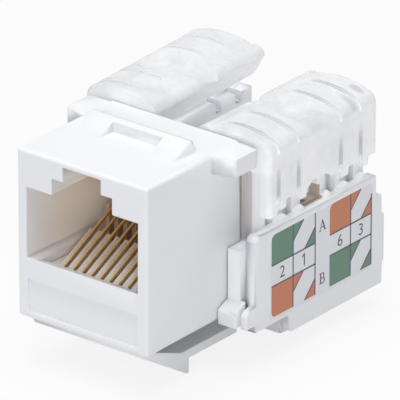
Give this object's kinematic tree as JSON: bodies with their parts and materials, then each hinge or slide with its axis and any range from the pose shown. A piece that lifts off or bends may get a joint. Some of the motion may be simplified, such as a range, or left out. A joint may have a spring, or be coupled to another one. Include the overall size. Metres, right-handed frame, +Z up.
{
  "type": "keystone jack",
  "caption": "Keystone jack: a modular port in a snap-in housing with a springy latch, and punch-down towers under clear caps behind it, with wiring labels on its sides.",
  "frame": {"origin": "centre of the plug port's mouth, on the housing's front face", "axes": "+X right as seen from in front of the port, +Y from the port face to the rear, +Z up"},
  "size_m": [0.0208, 0.0299, 0.0222],
  "materials": {
    "white": "satin",
    "comb": "satin",
    "gold": "polished",
    "board": "satin",
    "contact_metal": "satin",
    "clear": "polished",
    "label": "matte"
  },
  "bodies": {
    "jack": {"front_housing": "white", "contact_carrier": "comb", "contact_wire_1": "gold", "contact_wire_2": "gold", "contact_wire_3": "gold", "contact_wire_4": "gold", "contact_wire_5": "gold", "contact_wire_6": "gold", "contact_wire_7": "gold", "contact_wire_8": "gold", "circuit_board": "board", "termination_block": "white", "idc_contact_1": "contact_metal", "idc_contact_2": "contact_metal", "idc_contact_3": "contact_metal", "idc_contact_4": "contact_metal", "idc_contact_5": "contact_metal", "idc_contact_6": "contact_metal", "idc_contact_7": "contact_metal", "idc_contact_8": "contact_metal", "base_cover": "white", "label_left": "label", "label_right": "label"},
    "latch": {"latch_lever": "white"},
    "left_cap": {"cap_left": "clear"},
    "right_cap": {"cap_right": "clear"}
  },
  "joints": [
    {"name": "latch_bend", "type": "hinge", "parent": "jack", "child": "latch", "pos_m": [0, 0.001, -0.0096], "axis": [1, 0, 0], "range_deg": [0, 9], "stiffness_Nm_per_rad": 0.05},
    {"name": "left_cap_lift", "type": "slide", "parent": "jack", "child": "left_cap", "axis": [0, 0, 1], "range_m": [0, 0.008]},
    {"name": "right_cap_lift", "type": "slide", "parent": "jack", "child": "right_cap", "axis": [0, 0, 1], "range_m": [0, 0.008]}
  ]
}
